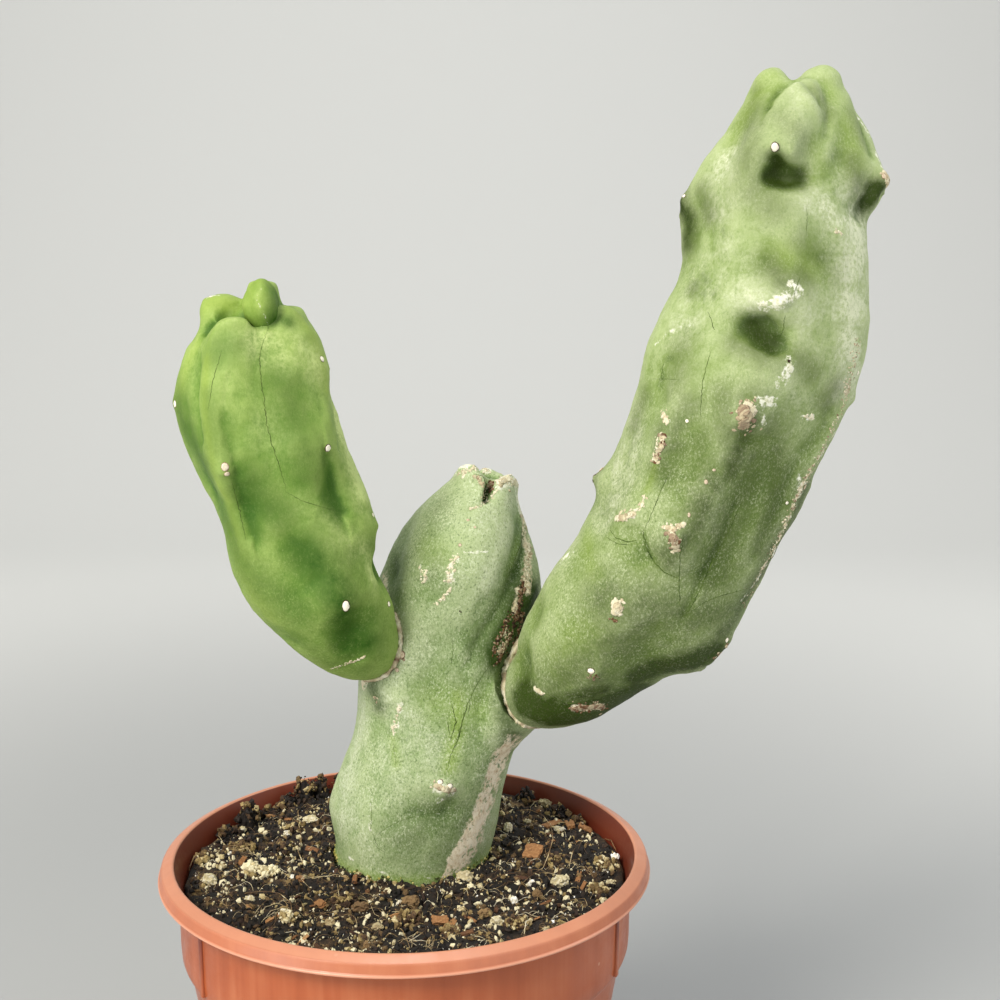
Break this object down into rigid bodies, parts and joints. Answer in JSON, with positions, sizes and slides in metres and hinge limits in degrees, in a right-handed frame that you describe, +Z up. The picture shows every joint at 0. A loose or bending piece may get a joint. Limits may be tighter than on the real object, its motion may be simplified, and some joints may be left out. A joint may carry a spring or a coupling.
{
  "type": "potted senita cactus",
  "caption": "Monstrose senita cactus with a callused trunk and two knobbly arms, in soil in a terracotta-coloured plastic nursery pot.",
  "frame": {"origin": "centre of the pot's foot, on the plane that it rests on", "axes": "+Z up, +X towards the large right arm, -Y towards the viewer of the picture"},
  "size_m": [0.1969, 0.14, 0.3344],
  "materials": {
    "pot": "moulded, satin",
    "soil": "loose and crumbly",
    "trunk": "waxy skin with corky scars",
    "left_arm": "waxy skin",
    "right_arm": "waxy skin with a pale bloom"
  },
  "bodies": {
    "root": {"pot": "pot", "soil": "soil", "trunk": "trunk", "left_arm": "left_arm", "right_arm": "right_arm"}
  },
  "joints": []
}
